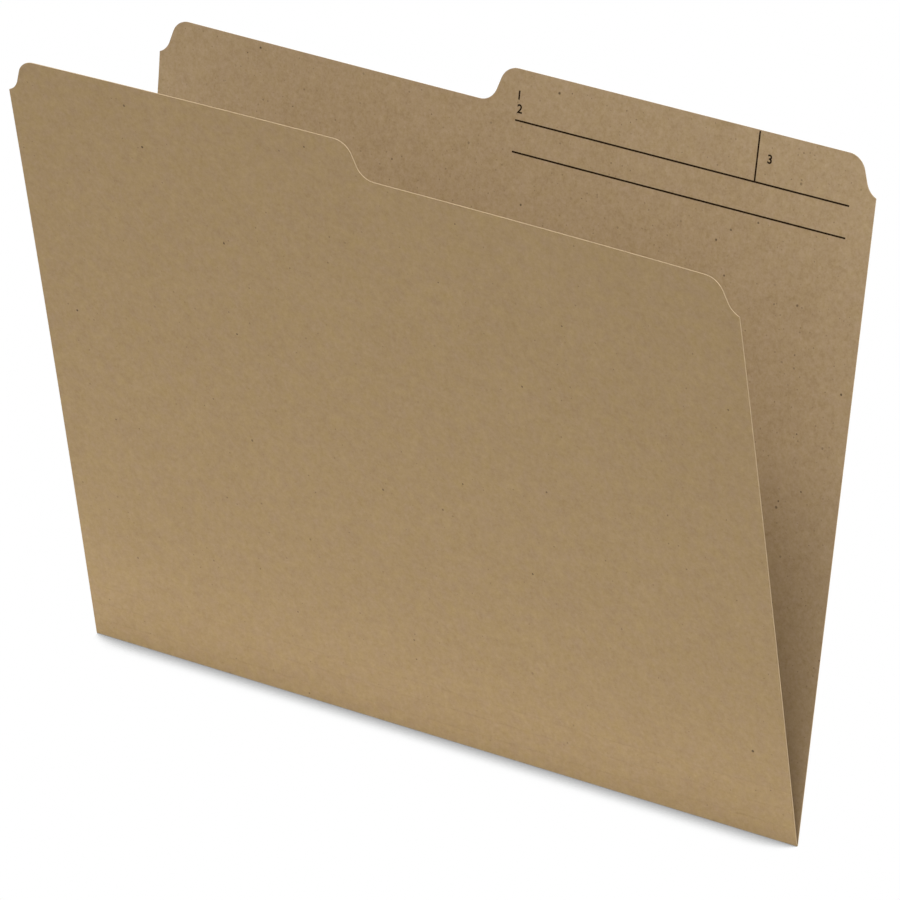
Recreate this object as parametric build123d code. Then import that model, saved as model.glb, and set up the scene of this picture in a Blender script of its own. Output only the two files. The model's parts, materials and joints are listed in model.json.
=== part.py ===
"""Letter-size kraft file folder: one die-cut sheet, folded once and scored three times.

The folder stands open on its fold. X runs along the fold, +Y points to the back leaf and +Z up.
The origin is on the supporting surface, under the middle of the fold. Sizes are in millimetres.

Each panel is drawn flat, with X along the fold, Y up the leaf from the fold's axis and Z across
the stock, and is then turned about the fold's axis to its rest position.
"""
from build123d import *
from math import radians, tan
import os

# Stock
stock_thickness = 0.28
closed_gap = 0.20           # between the leaves' inner faces when the folder is shut
crease_clearance = 0.05     # between a rounded crease and the panel that turns on it

# Leaves, measured up the leaf from the bottom of the fold
fold_length = 298.45
leaf_height = 241.3         # to the top of the tab
tab_height = 13.7           # of the tab above the low half of the cut edge
rest_lean = 10.5            # degrees of each leaf from upright

# Cut line along the top of both leaves
step_center = -4.4          # X of the step between the tab and the low half
shoulder_inset = 7.2        # from a side edge to the shoulder where the top edge ends
shoulder_drop = 13.7        # of the cut line beyond each shoulder
ramp_angle = 71.0           # degrees of the step and the shoulders from the fold's direction
ramp_radius = 7.0           # where a ramp meets a level stretch

# Expansion scores across the front leaf, measured up the leaf from the bottom of the fold
first_score = 6.7
score_pitch = 7.45
score_count = 3

# Values that follow from the sizes above
inner_face = closed_gap / 2
outer_face = inner_face + stock_thickness
middle_face = inner_face + stock_thickness / 2
fold_radius = outer_face
crease_radius = stock_thickness / 2
side_edge = fold_length / 2


def ramp_run(drop):
    """Length along the fold that a ramp takes to fall by drop."""
    return drop / tan(radians(ramp_angle))


def cut_line(tab_side):
    """Top cut line of a leaf from left to right, with its tab at tab_side (-1 left, +1 right).

    It runs past both side edges, so that the side edges trim the hollow of each shoulder.
    """
    overrun = 2 * ramp_radius
    top = leaf_height - fold_radius
    low = top - tab_height
    shoulder = side_edge - shoulder_inset
    shoulder_foot = shoulder + ramp_run(shoulder_drop)
    half_step = ramp_run(tab_height) / 2
    # Drawn with the tab on the left, then mirrored where it is on the right.
    step = -tab_side * step_center
    points = [
        (-shoulder_foot - overrun, top - shoulder_drop),
        (-shoulder_foot, top - shoulder_drop),
        (-shoulder, top),
        (step - half_step, top),
        (step + half_step, low),
        (shoulder, low),
        (shoulder_foot, low - shoulder_drop),
        (shoulder_foot + overrun, low - shoulder_drop),
    ]
    return [(-tab_side * x, y) for x, y in points]


def leaf_face(tab_side, foot):
    """Flat outline of a leaf from the height foot up to its cut line."""
    points = cut_line(tab_side)
    first, last = points[0], points[-1]
    top_edge = FilletPolyline(*points, radius=ramp_radius)
    below = Polyline(last, (last[0], foot), (first[0], foot), first)
    blank = make_face(top_edge.edges() + below.edges())
    sheet = Pos(0, foot) * Rectangle(fold_length, leaf_height, align=(Align.CENTER, Align.MIN))
    return blank & sheet


def front_side(panel_face):
    """A flat outline as stock on the front side of the fold's axis."""
    return Pos(0, 0, inner_face) * extrude(panel_face, amount=stock_thickness)


def stand(panel, side):
    """Turn a flat panel about the fold's axis to its rest lean (side -1 back, +1 front)."""
    return Pos(0, 0, fold_radius) * Rot(90 + side * rest_lean, 0, 0) * panel


def score_height(number):
    """Distance of a score's axis from the fold's axis, up the leaf."""
    return first_score + (number - 1) * score_pitch - fold_radius


def panel_foot(number):
    """Foot of the panel above a score, or above the main fold for number 0."""
    if number == 0:
        return fold_radius + crease_clearance
    return score_height(number) + crease_radius + crease_clearance


def make_back_leaf():
    """Back leaf with the main fold's rounded edge at its foot."""
    leaf = Pos(0, 0, -outer_face - inner_face) * front_side(leaf_face(tab_side=1, foot=0))
    fold_edge = Rot(0, 90, 0) * Cylinder(fold_radius, fold_length)
    return stand(leaf + fold_edge, side=-1)


def make_score_strip(number):
    """Strip of the front leaf below a score, with the score's rounded crease as its top edge."""
    foot = panel_foot(number - 1)
    crease = score_height(number)
    round_top = ThreePointArc(
        (crease, inner_face), (crease + crease_radius, middle_face), (crease, outer_face)
    )
    outline = Polyline(
        (crease, outer_face), (foot, outer_face), (foot, inner_face), (crease, inner_face)
    )
    section = Plane.YZ * make_face(round_top.edges() + outline.edges())
    return stand(extrude(section, amount=side_edge, both=True), side=1)


def make_front_leaf():
    """Front leaf above the last score."""
    leaf = front_side(leaf_face(tab_side=-1, foot=panel_foot(score_count)))
    return stand(leaf, side=1)


def main():
    panels = {"back_leaf": make_back_leaf()}
    for number in range(1, score_count + 1):
        panels[f"score_strip_{number}"] = make_score_strip(number)
    panels["front_leaf"] = make_front_leaf()
    os.makedirs("parts", exist_ok=True)
    for name, panel in panels.items():
        export_step(panel, f"parts/{name}.step")
    for number in range(1, score_count + 1):
        axis = stand(Pos(0, score_height(number), middle_face), side=1)
        print("score", number, "axis at", axis.position)


main()
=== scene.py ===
"""Dresses the file folder as die-cut kraft stock and lights it on a white studio floor.

Each leaf and score strip of the frame is replaced by a closed sheet of the same stock, gently bowed
as paper is. Lengths are in metres, in the frame's own axes: X along the fold, +Y to the back leaf.
"""
import json
from math import acos, cos, pi, radians, sin, sqrt, tan

import bmesh
import bpy
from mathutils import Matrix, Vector


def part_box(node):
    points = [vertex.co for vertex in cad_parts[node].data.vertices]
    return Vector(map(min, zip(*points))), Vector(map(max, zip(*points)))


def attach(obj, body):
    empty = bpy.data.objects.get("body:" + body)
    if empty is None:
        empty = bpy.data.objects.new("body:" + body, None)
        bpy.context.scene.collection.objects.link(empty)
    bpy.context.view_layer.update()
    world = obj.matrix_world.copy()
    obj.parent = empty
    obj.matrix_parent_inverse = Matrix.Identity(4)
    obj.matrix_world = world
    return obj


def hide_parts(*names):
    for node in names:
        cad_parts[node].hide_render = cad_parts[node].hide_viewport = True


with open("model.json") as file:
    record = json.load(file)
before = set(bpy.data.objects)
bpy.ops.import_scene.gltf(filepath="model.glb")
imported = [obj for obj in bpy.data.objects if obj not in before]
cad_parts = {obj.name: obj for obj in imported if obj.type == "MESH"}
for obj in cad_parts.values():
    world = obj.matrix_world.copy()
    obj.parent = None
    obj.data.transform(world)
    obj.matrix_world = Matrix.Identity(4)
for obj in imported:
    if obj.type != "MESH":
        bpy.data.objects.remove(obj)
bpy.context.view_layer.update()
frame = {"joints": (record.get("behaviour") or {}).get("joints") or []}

MM = 0.001
TINY = 1e-7                     # lengths below this count as none

# Signs of the two leaves, and of the two sides of a leaf
FRONT = -1
BACK = 1
OUTER = 1
INNER = -1

# Place of the cut edges' material in a piece's list
CUT_SLOT = 1

stock = 0.28 * MM               # thickness of the sheet

# Sizes of the sheet, from the frame and the stock
joints = {joint["name"]: joint for joint in frame["joints"]}
fold_axis = Vector(joints["main_fold"]["pos_m"])
lean = -radians(joints["main_fold"]["range_deg"][0]) / 2    # of each leaf from upright
front_up = Vector((0, -sin(lean), cos(lean)))
score_names = ["score_1", "score_2", "score_3"]
score_heights = [(Vector(joints[name]["pos_m"]) - fold_axis).dot(front_up) for name in score_names]
fold_radius = fold_axis.z
inner_face = fold_radius - stock
middle_face = fold_radius - stock / 2
score_turn = radians(joints[score_names[0]]["range_deg"][1])
back_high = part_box("back_leaf")[1]
side_edge = back_high.x
leaf_top = (back_high.z - fold_radius + inner_face * sin(lean)) / cos(lean)
bead_join = sqrt(fold_radius ** 2 - inner_face ** 2)

# Cut line along the top of the leaves
tab_height = 13.7 * MM          # of the tab above the low half of the cut line
step_center = -4.4 * MM         # X of the step between the tab and the low half
shoulder_inset = 7.2 * MM       # from a side edge to the shoulder where the top edge ends
shoulder_drop = 13.7 * MM       # of the cut line beyond each shoulder
ramp_angle = radians(71.0)      # of the step and the shoulders from the fold's direction
ramp_radius = 7.0 * MM          # where a ramp meets a level stretch

# How far the sheet departs from flat
back_bulge = 5.5 * MM           # of the back leaf's left edge, outwards
bulge_scale = 27 / 4            # brings the peak of along ** 2 * (1 - along) to 1
front_flare = 2.6 * MM          # of the front leaf's upper corners, outwards
score_depth = 0.03 * MM
score_half_width = 0.9 * MM
score_core = 0.10 * MM          # radius of the round edge that a score turns on
score_play = 0.002 * MM         # between that edge and the hollow above it
score_notch = stock / 2 * tan(score_turn / 2)   # that the outer side stops short of a score

# Printed fields on the inside of the back leaf's tab: X along the fold, heights from its axis
rule_width = 0.62 * MM
rule_left = 3.6 * MM
rule_right = 139.3 * MM
upper_rule = 222.9 * MM
lower_rule = 211.7 * MM
divider_place = 101.5 * MM
ink_thickness = 0.012 * MM
ink_gap = 0.01 * MM             # between the divider and the rule that it stands on
numeral_height = 3.2 * MM
numeral_weight = 0.022          # that each stroke is thickened, in the type's own units

# Each numeral with its left edge and its base line
numerals = [
    ("1", 4.0 * MM, 230.2 * MM),
    ("2", 4.0 * MM, 225.5 * MM),
    ("3", 105.6 * MM, 230.2 * MM),
]

# Mesh density
cell = 4.0 * MM
crease_rows = [0.2 * MM, 0.45 * MM, 0.9 * MM]   # how far extra rows lie from a score
bead_row = 1.2 * fold_radius    # height of an extra row above the fold's axis
arc_steps = 10
score_steps = 14
bead_steps = 24
sharp_angle = radians(30)       # between two faces, from which their edge is shaded sharp

# Colours, linear. The stock of each leaf varies between two tones.
front_tones = ((0.369, 0.259, 0.109, 1), (0.340, 0.233, 0.142, 1))
back_tones = ((0.350, 0.254, 0.131, 1), (0.334, 0.239, 0.147, 1))
kraft_dark = (0.085, 0.052, 0.028, 1)
kraft_pale = (0.33, 0.25, 0.156, 1)
cut_edge = (0.37, 0.283, 0.176, 1)
ink_black = (0.010, 0.0042, 0.0016, 1)
white = (1, 1, 1, 1)

# Mottle of the stock: size of each layer of noise, and its contrast
mottle_layers = [
    (0.7 * MM, 0.21),
    (1.5 * MM, 0.19),
    (3 * MM, 0.12),
    (6 * MM, 0.06),
    (12 * MM, 0.035),
    (25 * MM, 0.025),
]
mottle_tint = (0.85, 1.0, 1.5)  # share of the contrast in red, green and blue
noise_detail = 2.0
noise_roughness = 0.55
grain_detail = 1.0              # of the mottle and of the flecks' outlines

# Fibres and flecks of the stock
formation_size = 4 * MM
fibre_size = 0.35 * MM
fibre_stretch = (0.22, 1, 1)    # of the texture's scale, so that fibres lie along the fold
fibre_height = 0.03 * MM
fibre_relief = 0.25             # share of the full bump
fray_size = 0.5 * MM
fray_reach = 0.3 * MM           # that a fleck's outline wanders
fleck_least = 0.6               # size of the smallest fleck, where 1 is the given radius
fleck_range = 0.8               # that the largest fleck adds to this
fleck_rim = 0.5                 # share of a fleck's radius over which it fades out
dust_spacing = 2.1 * MM
dust_radius = 0.3 * MM
dust_strength = 0.5
dust_fading = 3                 # power of a random strength: the higher, the more are faint
speck_spacing = 5 * MM
speck_radius = 0.46 * MM
speck_fading = 7
front_offset = (0, 0, 0)
back_offset = (0.731, 0.412, 0)  # gives the back leaf flecks of its own
edge_blotch = 1.2 * MM
ink_wear = 0.6 * MM
ink_wear_share = 0.12

# Finish of the surfaces
kraft_roughness = 0.74
formation_roughness = 0.16      # that the formation adds at most
kraft_specular = 0.22
edge_roughness = 0.9
edge_specular = 0.15
ink_roughness = 0.6
ink_specular = 0.06
floor_roughness = 1.0
floor_specular = 0.0

# Camera, at the photograph's viewing angle
camera_azimuth = radians(34.9)
camera_elevation = radians(24.0)
camera_distance = 2.95
camera_aim = Vector((0.005, 0, 0.111))
camera_lens = 343.0             # millimetres
camera_reach = 50               # farthest that it sees

# Floor and surroundings
floor_size = 12
floor_white = 0.6               # share of the light that it throws back up
# Painted contact shadow: the floor darkens to the camera by the ambient occlusion round it, not by the
# lamps
painted_shadow_reach = 22 * MM
painted_shadow_tight = 0.36            # openness of a corner at which the painted shadow is deepest
painted_shadow_clear = 0.63            # openness at which the painted shadow ends
painted_shadow_light = 0.25            # share of the white left in the deepest painted shadow
world_light = 0.42              # of the surroundings as a light, where 1 is how they look
world_slope = 0.06              # that this light falls towards +X

# Lamps, with powers in watts
soft_aim = (0, 0, 0.1)
soft_size = 1.2
overhead_place = (0, -0.25, 1.4)
overhead_power = 30
behind_place = (0, 1.4, 0.6)
behind_power = 8
low_middle = -0.09              # X of the long low lamps in front of the fold
low_level = 5 * MM
low_width = 0.54
low_height = 6 * MM
low_lamps = [("low_front", 0.15, 0.080), ("low_near", 0.04, 0.024)]    # distances and powers
side_place = (2.0, 0, 0.02)
side_aim = (0, 0, 0.02)
side_width = 0.1
side_height = 0.03
side_power = 29


# Shape of the leaves

def leaf_point(side, x, up, out):
    """World place of a point x along the fold, up a leaf from the fold's axis and out of the V."""
    spread = up * sin(lean) + out * cos(lean)
    return fold_axis + Vector((x, side * spread, up * cos(lean) - out * sin(lean)))


def back_bow(x, up):
    """Outward bulge of the back leaf: most at its left edge, none at the fold and the tab's height."""
    along = min(max(up / leaf_top, 0), 1)
    left_share = (side_edge - x) / (2 * side_edge)
    return back_bulge * left_share ** 3 * bulge_scale * along ** 2 * (1 - along)


def front_bow(x, up):
    """Outward flare of the front leaf towards its two upper corners."""
    start = score_heights[-1]
    along = min(max((up - start) / (leaf_top - start), 0), 1)
    return front_flare * (x / side_edge) ** 2 * along ** 2


def front_half_stock(up):
    """Half the thickness of the front sheet, which is pressed thinner along each score."""
    gap = min(abs(up - height) for height in score_heights)
    return stock / 2 - score_depth * max(0, 1 - gap / score_half_width) ** 2


def back_surface(x, up, face):
    """Place on the back leaf's outer or inner side. The inner side starts where it leaves the bead."""
    if face == INNER:
        up = max(up, bead_join)
    return leaf_point(BACK, x, up, middle_face + face * stock / 2 + back_bow(x, up))


def front_surface(lowest, highest):
    """Places on a front panel's two sides. The outer one stops at the heights lowest and highest."""
    def surface(x, up, face):
        if face == OUTER:
            up = min(max(up, lowest), highest)
        return leaf_point(FRONT, x, up, middle_face + face * front_half_stock(up) + front_bow(x, up))
    return surface


def ink_surface(x, up, face):
    """Place on the print: its free side stands a little proud of the back leaf's inner side."""
    return leaf_point(BACK, x, up, inner_face + face * ink_thickness + back_bow(x, up))


def fold_bead(x):
    """Places round the main fold, from the back leaf's outer side to its inner side."""
    sweep = 2 * pi - acos(inner_face / fold_radius)
    angles = [sweep * i / bead_steps for i in range(1, bead_steps)]
    return [leaf_point(BACK, x, -fold_radius * sin(a), fold_radius * cos(a)) for a in angles]


def score_edge(height, first_angle, radius):
    """Places round a score, over its axis from an angle above the outer side to the inner side."""
    angles = [first_angle + (pi - first_angle) * i / score_steps for i in range(score_steps + 1)]

    def ring(x):
        return [leaf_point(FRONT, x, height + radius * sin(a), middle_face + radius * cos(a))
                for a in angles]
    return ring


def round_edge(height):
    """Round upper edge of the panel below a score."""
    return score_edge(height, -score_turn / 2, score_core)


def hollow_edge(height):
    """Hollow lower edge of the panel above a score, which turns on the round edge below it."""
    return score_edge(height, score_turn / 2, score_core + score_play)


# Outlines

def rounded(points, radius):
    """The open line through points, with each inner corner rounded to an arc."""
    line = [points[0]]
    for before, corner, after in zip(points, points[1:], points[2:]):
        back = (before - corner).normalized()
        ahead = (after - corner).normalized()
        half_angle = back.angle(ahead) / 2
        center = corner + (back + ahead).normalized() * radius / sin(half_angle)
        spoke = corner + back * radius / tan(half_angle) - center
        across = Vector((-spoke.y, spoke.x))
        turn = (pi - 2 * half_angle) * (1 if back.cross(ahead) < 0 else -1)
        for step in range(arc_steps + 1):
            angle = turn * step / arc_steps
            line.append(center + spoke * cos(angle) + across * sin(angle))
    line.append(points[-1])
    return line


def trimmed(line):
    """The part of a left-to-right line between the two side edges."""
    kept = []
    for first, second in zip(line, line[1:]):
        for edge in (-side_edge, side_edge):
            if (first.x - edge) * (second.x - edge) < 0:
                kept.append(first.lerp(second, (edge - first.x) / (second.x - first.x)))
        if abs(second.x) < side_edge:
            kept.append(second)
    return kept


def leaf_outline(tab_side, foot):
    """Corners of a leaf from the height foot to its cut line, with its tab left (-1) or right (1)."""
    overrun = 2 * ramp_radius
    low = leaf_top - tab_height
    shoulder = side_edge - shoulder_inset
    shoulder_foot = shoulder + shoulder_drop / tan(ramp_angle)
    half_step = tab_height / tan(ramp_angle) / 2
    step = -tab_side * step_center
    places = [
        (-shoulder_foot - overrun, leaf_top - shoulder_drop),
        (-shoulder_foot, leaf_top - shoulder_drop),
        (-shoulder, leaf_top),
        (step - half_step, leaf_top),
        (step + half_step, low),
        (shoulder, low),
        (shoulder_foot, low - shoulder_drop),
        (shoulder_foot + overrun, low - shoulder_drop),
    ]
    points = sorted((Vector((-tab_side * x, up)) for x, up in places), key=lambda point: point.x)
    cut = trimmed(rounded(points, ramp_radius))
    return [Vector((-side_edge, foot)), Vector((side_edge, foot)), *reversed(cut)]


def rectangle(left, right, foot, top):
    """Corners of a rectangle."""
    return [Vector((left, foot)), Vector((right, foot)), Vector((right, top)), Vector((left, top))]


# Meshes

def flat_mesh(outlines, rows=()):
    """A flat mesh inside some outlines, cut into columns, levels and along extra rows."""
    flat = bmesh.new()
    for outline in outlines:
        flat.faces.new([flat.verts.new((point.x, point.y, 0)) for point in outline])
    heights = [point.y for outline in outlines for point in outline]
    foot, top = min(heights), max(heights)
    columns = round(2 * side_edge / cell)
    levels = max(1, round((top - foot) / cell))
    cuts = [((-side_edge + 2 * side_edge * i / columns, 0, 0), (1, 0, 0)) for i in range(1, columns)]
    cuts += [((0, foot + (top - foot) * i / levels, 0), (0, 1, 0)) for i in range(1, levels)]
    cuts += [((0, row, 0), (0, 1, 0)) for row in rows]
    for place, normal in cuts:
        everything = flat.verts[:] + flat.edges[:] + flat.faces[:]
        bmesh.ops.bisect_plane(flat, geom=everything, dist=TINY, plane_co=place, plane_no=normal)
    many_sided = [face for face in flat.faces if len(face.verts) > 4]
    bmesh.ops.triangulate(flat, faces=many_sided)
    return flat


def solid_sheet(flat, surface, caps=()):
    """A closed sheet over a flat mesh.

    surface(x, up, face) gives the places of its two sides. caps pairs the height of each shaped edge
    with a function of x that gives the places round it, from the outer side to the inner.
    """
    solid = bmesh.new()
    outer = {v: solid.verts.new(surface(v.co.x, v.co.y, OUTER)) for v in flat.verts}
    inner = {v: solid.verts.new(surface(v.co.x, v.co.y, INNER)) for v in flat.verts}
    rims = {}
    capped = set()
    for v in flat.verts:
        rims[v] = [outer[v], inner[v]]
        for height, ring in caps:
            if abs(v.co.y - height) < TINY:
                rims[v][1:1] = [solid.verts.new(place) for place in ring(v.co.x)]
                capped.add(v)
    for face in flat.faces:
        solid.faces.new([outer[v] for v in face.verts])
        solid.faces.new([inner[v] for v in reversed(face.verts)])
    for edge in flat.edges:
        if len(edge.link_faces) > 1:
            continue
        first, second = (rims[v] for v in edge.verts)
        if capped.issuperset(edge.verts):
            for i in range(len(first) - 1):
                solid.faces.new([first[i], first[i + 1], second[i + 1], second[i]])
        else:
            solid.faces.new([*first, *reversed(second)]).material_index = CUT_SLOT
    bmesh.ops.recalc_face_normals(solid, faces=solid.faces[:])
    for face in solid.faces:
        face.smooth = True
    for edge in solid.edges:
        edge.smooth = edge.calc_face_angle(0) < sharp_angle
    flat.free()
    return solid


def add_piece(name, solid, body, materials, node=None):
    """Turn a solid sheet into a piece that rides on a body and, where one is given, replaces a node."""
    mesh = bpy.data.meshes.new(name)
    solid.to_mesh(mesh)
    solid.free()
    for material in materials:
        mesh.materials.append(material)
    piece = bpy.data.objects.new(name, mesh)
    bpy.context.scene.collection.objects.link(piece)
    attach(piece, body)
    if node:
        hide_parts(node)


# Pieces

def make_back_sheet(materials):
    """Back leaf with the bead of the main fold at its foot."""
    flat = flat_mesh([leaf_outline(tab_side=1, foot=0)], rows=[bead_row])
    solid = solid_sheet(flat, back_surface, caps=[(0, fold_bead)])
    add_piece("back_sheet", solid, "back_leaf", materials, node="back_leaf")


def make_score_sheet(number, materials):
    """Strip of the front leaf below a score."""
    top = score_heights[number - 1]
    caps = [(top, round_edge(top))]
    rows = [top - row for row in crease_rows]
    foot = lowest = 0
    if number > 1:
        foot = score_heights[number - 2]
        lowest = foot + score_notch
        caps.append((foot, hollow_edge(foot)))
        rows += [foot + row for row in crease_rows]
    flat = flat_mesh([rectangle(-side_edge, side_edge, foot, top)], rows)
    solid = solid_sheet(flat, front_surface(lowest, top - score_notch), caps)
    node = f"score_strip_{number}"
    add_piece(f"score_sheet_{number}", solid, node, materials, node=node)


def make_front_sheet(materials):
    """Front leaf above the last score."""
    foot = score_heights[-1]
    rows = [foot + row for row in crease_rows]
    flat = flat_mesh([leaf_outline(tab_side=-1, foot=foot)], rows)
    surface = front_surface(foot + score_notch, leaf_top)
    solid = solid_sheet(flat, surface, caps=[(foot, hollow_edge(foot))])
    add_piece("front_sheet", solid, "front_leaf", materials, node="front_leaf")


def add_numeral(flat, digit, left, base):
    """Add a plain numeral to a flat mesh."""
    curve = bpy.data.curves.new("numeral", "FONT")
    curve.body = digit
    curve.offset = numeral_weight
    writer = bpy.data.objects.new("numeral", curve)
    mesh = bpy.data.meshes.new_from_object(writer)
    lowest = min(v.co.y for v in mesh.vertices)
    scale = numeral_height / (max(v.co.y for v in mesh.vertices) - lowest)
    start = min(v.co.x for v in mesh.vertices)
    verts = [flat.verts.new((left + (v.co.x - start) * scale, base + (v.co.y - lowest) * scale, 0))
             for v in mesh.vertices]
    for polygon in mesh.polygons:
        flat.faces.new([verts[i] for i in polygon.vertices])
    bpy.data.objects.remove(writer)
    bpy.data.curves.remove(curve)
    bpy.data.meshes.remove(mesh)


def make_print(materials):
    """Two rules, a divider and a numeral in each field, on the inside of the back leaf."""
    half = rule_width / 2
    divider_foot = upper_rule + half + ink_gap
    flat = flat_mesh([
        rectangle(rule_left, rule_right, upper_rule - half, upper_rule + half),
        rectangle(rule_left, rule_right, lower_rule - half, lower_rule + half),
        rectangle(divider_place - half, divider_place + half, divider_foot, leaf_top - half),
    ])
    for digit, left, base in numerals:
        add_numeral(flat, digit, left, base)
    solid = solid_sheet(flat, ink_surface)
    add_piece("printed_fields", solid, "back_leaf", materials)


# Materials

def new_material(name):
    """A node material, with its tree and its shader."""
    material = bpy.data.materials.new(name)
    material.use_nodes = True
    return material, material.node_tree, material.node_tree.nodes["Principled BSDF"]


def add_node(tree, kind, inputs=(), **settings):
    """A node with its settings, and its inputs set to values or linked to sockets."""
    node = tree.nodes.new(kind)
    for name, value in settings.items():
        setattr(node, name, value)
    for key, value in dict(inputs).items():
        if isinstance(value, bpy.types.NodeSocket):
            tree.links.new(value, node.inputs[key])
        else:
            node.inputs[key].default_value = value
    return node


def mix_colour(tree, factor, first, second):
    """The colour between two colours. The node's sockets for colours are inputs 6 and 7 and output 2."""
    inputs = {"Factor": factor, 6: first, 7: second}
    return add_node(tree, "ShaderNodeMix", inputs, data_type="RGBA").outputs[2]


def calculate(tree, operation, *values):
    """The result of a sum on numbers and sockets."""
    return add_node(tree, "ShaderNodeMath", dict(enumerate(values)), operation=operation).outputs[0]


def noise(tree, coords, feature_size, detail=noise_detail):
    """Noise from 0 to 1 with features of about the given size."""
    inputs = {
        "Vector": coords,
        "Scale": 1 / feature_size,
        "Detail": detail,
        "Roughness": noise_roughness,
    }
    return add_node(tree, "ShaderNodeTexNoise", inputs).outputs["Fac"]


def leaf_plane(tree, coords, offset):
    """Coordinates along the fold and up the leaf, shifted by an offset and slightly frayed."""
    parts = add_node(tree, "ShaderNodeSeparateXYZ", {0: coords}).outputs
    plane = add_node(tree, "ShaderNodeCombineXYZ", {0: parts["X"], 1: parts["Z"]}).outputs[0]
    inputs = {"Vector": coords, "Scale": 1 / fray_size, "Detail": grain_detail}
    fray = add_node(tree, "ShaderNodeTexNoise", inputs).outputs["Color"]
    inputs = {0: fray, 1: (fray_reach,) * 3, 2: offset}
    moved = add_node(tree, "ShaderNodeVectorMath", inputs, operation="MULTIPLY_ADD").outputs[0]
    return add_node(tree, "ShaderNodeVectorMath", {0: plane, 1: moved}, operation="ADD").outputs[0]


def mottle(tree, coords, contrast):
    """Unevenness of the stock about 0, from fine grain to cloudy formation."""
    total = 0.0
    for size, weight in mottle_layers:
        layer = calculate(tree, "SUBTRACT", noise(tree, coords, size, grain_detail), 0.5)
        total = calculate(tree, "MULTIPLY_ADD", layer, weight * contrast, total)
    return total


def flecks(tree, plane, spacing, radius, share, fading):
    """Mask of round flecks in a share of the cells of a given spacing. Fading makes more faint."""
    inputs = {"Vector": plane, "Scale": 1 / spacing}
    cells = add_node(tree, "ShaderNodeTexVoronoi", inputs, voronoi_dimensions="2D").outputs
    chance = add_node(tree, "ShaderNodeSeparateColor", {0: cells["Color"]}).outputs
    least = fleck_least * radius / spacing
    spread = fleck_range * radius / spacing
    size = calculate(tree, "MULTIPLY_ADD", chance["Green"], spread, least)
    inside = calculate(tree, "SUBTRACT", 1.0, calculate(tree, "DIVIDE", cells["Distance"], size))
    inputs = {"Value": inside, "From Min": 0.0, "From Max": fleck_rim}
    mask = add_node(tree, "ShaderNodeMapRange", inputs, interpolation_type="SMOOTHSTEP").outputs[0]
    chosen = calculate(tree, "LESS_THAN", chance["Red"], share)
    strength = calculate(tree, "POWER", chance["Blue"], fading)
    return calculate(tree, "MULTIPLY", calculate(tree, "MULTIPLY", mask, chosen), strength)


def kraft_material(name, tones, offset, contrast, speck_share, dust_share):
    """Kraft stock: mottle from grain to cloud, fibres, dark specks and faint dust."""
    material, tree, shader = new_material(name)
    coords = add_node(tree, "ShaderNodeTexCoord").outputs["Object"]
    inputs = {"Vector": coords, "Scale": fibre_stretch}
    stretched = add_node(tree, "ShaderNodeMapping", inputs).outputs[0]
    formation = noise(tree, coords, formation_size)
    fibre = noise(tree, stretched, fibre_size)
    inputs = {0: mottle(tree, coords, contrast), 1: mottle_tint, 2: (1, 1, 1)}
    shade = add_node(tree, "ShaderNodeVectorMath", inputs, operation="MULTIPLY_ADD").outputs[0]
    inputs = {0: mix_colour(tree, formation, *tones), 1: shade}
    colour = add_node(tree, "ShaderNodeVectorMath", inputs, operation="MULTIPLY").outputs[0]
    plane = leaf_plane(tree, coords, offset)
    dust = flecks(tree, plane, dust_spacing, dust_radius, dust_share, dust_fading)
    colour = mix_colour(tree, calculate(tree, "MULTIPLY", dust, dust_strength), colour, kraft_dark)
    specks = flecks(tree, plane, speck_spacing, speck_radius, speck_share, speck_fading)
    colour = mix_colour(tree, specks, colour, kraft_dark)
    tree.links.new(colour, shader.inputs["Base Color"])
    roughness = calculate(tree, "MULTIPLY_ADD", formation, formation_roughness, kraft_roughness)
    tree.links.new(roughness, shader.inputs["Roughness"])
    shader.inputs["Specular IOR Level"].default_value = kraft_specular
    inputs = {"Height": fibre, "Strength": fibre_relief, "Distance": fibre_height}
    tree.links.new(add_node(tree, "ShaderNodeBump", inputs).outputs[0], shader.inputs["Normal"])
    return material


def edge_material():
    """Cut edge of the stock, where the paler core shows."""
    material, tree, shader = new_material("cut_edge")
    coords = add_node(tree, "ShaderNodeTexCoord").outputs["Object"]
    blotch = noise(tree, coords, edge_blotch)
    tree.links.new(mix_colour(tree, blotch, cut_edge, kraft_pale), shader.inputs["Base Color"])
    shader.inputs["Roughness"].default_value = edge_roughness
    shader.inputs["Specular IOR Level"].default_value = edge_specular
    return material


def ink_material():
    """Printing ink, a little uneven over the grain of the stock."""
    material, tree, shader = new_material("ink")
    coords = add_node(tree, "ShaderNodeTexCoord").outputs["Object"]
    wear = calculate(tree, "MULTIPLY", noise(tree, coords, ink_wear), ink_wear_share)
    tree.links.new(mix_colour(tree, wear, ink_black, kraft_dark), shader.inputs["Base Color"])
    shader.inputs["Roughness"].default_value = ink_roughness
    shader.inputs["Specular IOR Level"].default_value = ink_specular
    return material


# Studio

def seen_directly(tree):
    """1 for rays that show the background itself: from the camera, in a reflection or through glass."""
    path = add_node(tree, "ShaderNodeLightPath").outputs
    seen = calculate(tree, "MAXIMUM", path["Is Camera Ray"], path["Is Glossy Ray"])
    return calculate(tree, "MAXIMUM", seen, path["Is Transmission Ray"])


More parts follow.
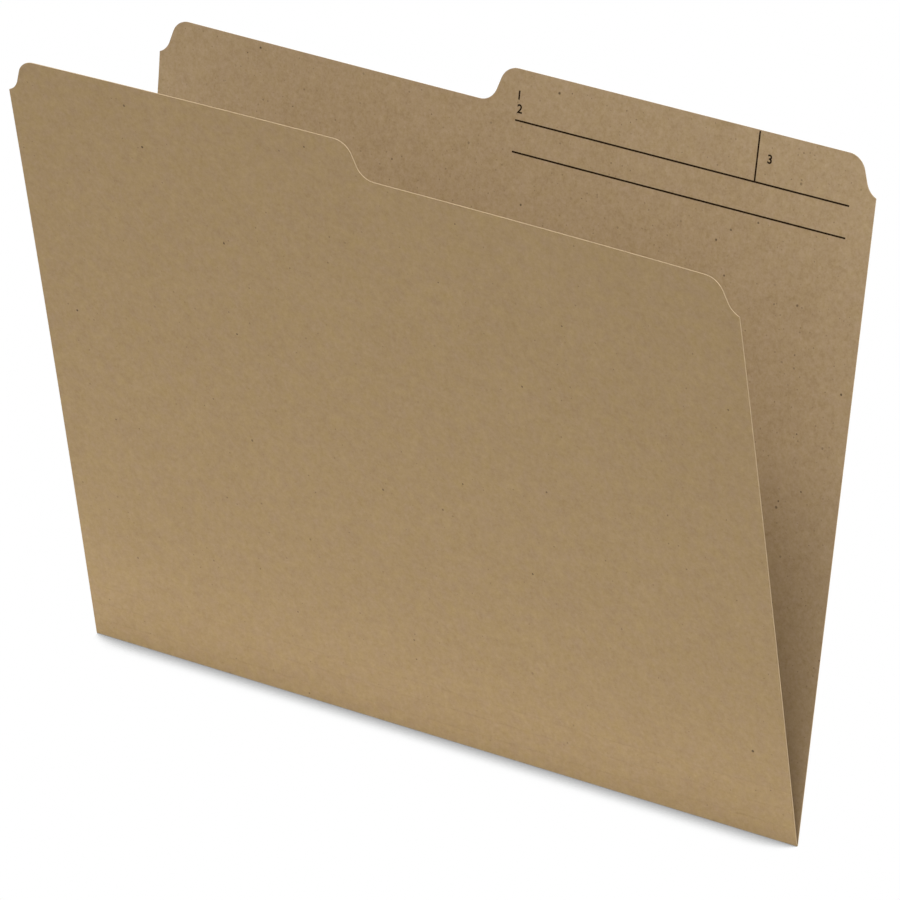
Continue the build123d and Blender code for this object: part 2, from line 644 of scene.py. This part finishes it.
def make_floor():
    """White floor with a painted contact shadow under the folder.

    Seen directly it shows the white surroundings, darkened by a painted shadow that ambient occlusion
    draws in the narrow corner under a leaf. From below it is clear, so that a leaf that swings under it
    still shows and is lit.
    """
    bpy.ops.mesh.primitive_plane_add(size=floor_size)
    floor = bpy.context.object
    floor.name = "floor"
    material, tree, shader = new_material("floor")
    # how open the floor is round each point, which sets the painted shadow
    contact = add_node(tree, "ShaderNodeAmbientOcclusion", {"Distance": painted_shadow_reach}).outputs["AO"]
    seen = seen_directly(tree)
    paint = calculate(tree, "MULTIPLY", calculate(tree, "SUBTRACT", 1.0, seen), floor_white)
    tree.links.new(paint, shader.inputs["Base Color"])
    shader.inputs["Roughness"].default_value = floor_roughness
    shader.inputs["Specular IOR Level"].default_value = floor_specular
    inputs = {
        "Value": contact,
        "From Min": painted_shadow_tight,
        "From Max": painted_shadow_clear,
        "To Min": painted_shadow_light,
    }
    # painted shadow: the share of the white that the camera sees through the floor, from how open the
    # corner is
    clear_of_painted_shadow = add_node(tree, "ShaderNodeMapRange", inputs).outputs[0]
    painted_shadow_see_through = calculate(tree, "MULTIPLY", seen, clear_of_painted_shadow)
    from_below = add_node(tree, "ShaderNodeNewGeometry").outputs["Backfacing"]
    clear = add_node(tree, "ShaderNodeBsdfTransparent").outputs[0]
    inputs = {0: calculate(tree, "MAXIMUM", painted_shadow_see_through, from_below), 1: shader.outputs[0], 2: clear}
    surface = add_node(tree, "ShaderNodeMixShader", inputs).outputs[0]
    tree.links.new(surface, tree.nodes["Material Output"].inputs["Surface"])
    floor.data.materials.append(material)


def make_world():
    """White surroundings, which as a light are dimmer than they look, and most so to the right."""
    world = bpy.data.worlds.new("studio")
    world.use_nodes = True
    tree = world.node_tree
    background = tree.nodes["Background"]
    background.inputs["Color"].default_value = white
    direction = add_node(tree, "ShaderNodeTexCoord").outputs["Generated"]
    rightward = add_node(tree, "ShaderNodeSeparateXYZ", {0: direction}).outputs["X"]
    light = calculate(tree, "MULTIPLY_ADD", rightward, -world_slope, world_light)
    strength = calculate(tree, "MAXIMUM", seen_directly(tree), light)
    tree.links.new(strength, background.inputs["Strength"])
    bpy.context.scene.world = world


def make_lamp(name, place, aim, width, height, power):
    """A soft rectangular lamp."""
    lamp = bpy.data.lights.new(name, "AREA")
    lamp.shape = "RECTANGLE"
    lamp.size = width
    lamp.size_y = height
    lamp.energy = power
    holder = bpy.data.objects.new(name, lamp)
    holder.location = place
    holder.rotation_euler = (Vector(aim) - Vector(place)).to_track_quat("-Z", "Y").to_euler()
    holder.visible_camera = False
    bpy.context.scene.collection.objects.link(holder)


def make_lamps():
    """Soft light from above and behind, the light that a white table throws up, and a low side light."""
    make_lamp("overhead", overhead_place, soft_aim, soft_size, soft_size, overhead_power)
    make_lamp("behind", behind_place, soft_aim, soft_size, soft_size, behind_power)
    low_aim = (low_middle, 0, low_level)
    for name, distance, power in low_lamps:
        make_lamp(name, (low_middle, -distance, low_level), low_aim, low_width, low_height, power)
    make_lamp("right_side", side_place, side_aim, side_width, side_height, side_power)


def make_camera():
    """Camera at the photograph's viewing angle."""
    lens = bpy.data.cameras.new("camera")
    lens.lens = camera_lens
    lens.clip_end = camera_reach
    camera = bpy.data.objects.new("camera", lens)
    away = Vector((
        sin(camera_azimuth) * cos(camera_elevation),
        -cos(camera_azimuth) * cos(camera_elevation),
        sin(camera_elevation),
    ))
    camera.location = camera_aim + away * camera_distance
    camera.rotation_euler = (-away).to_track_quat("-Z", "Y").to_euler()
    bpy.context.scene.collection.objects.link(camera)
    bpy.context.scene.camera = camera


def main():
    """Make the folder's pieces and the studio round them."""
    edge = edge_material()
    back_kraft = kraft_material("kraft_back", back_tones, offset=back_offset,
                                contrast=1.35, speck_share=0.35, dust_share=0.4)
    front_kraft = kraft_material("kraft_front", front_tones, offset=front_offset,
                                 contrast=1.0, speck_share=0.1, dust_share=0.1)
    make_back_sheet([back_kraft, edge])
    for number in range(1, len(score_heights) + 1):
        make_score_sheet(number, [front_kraft, edge])
    make_front_sheet([front_kraft, edge])
    ink = ink_material()
    make_print([ink, ink])
    make_floor()
    make_world()
    make_lamps()
    make_camera()
    bpy.context.scene.view_settings.view_transform = "Standard"


main()
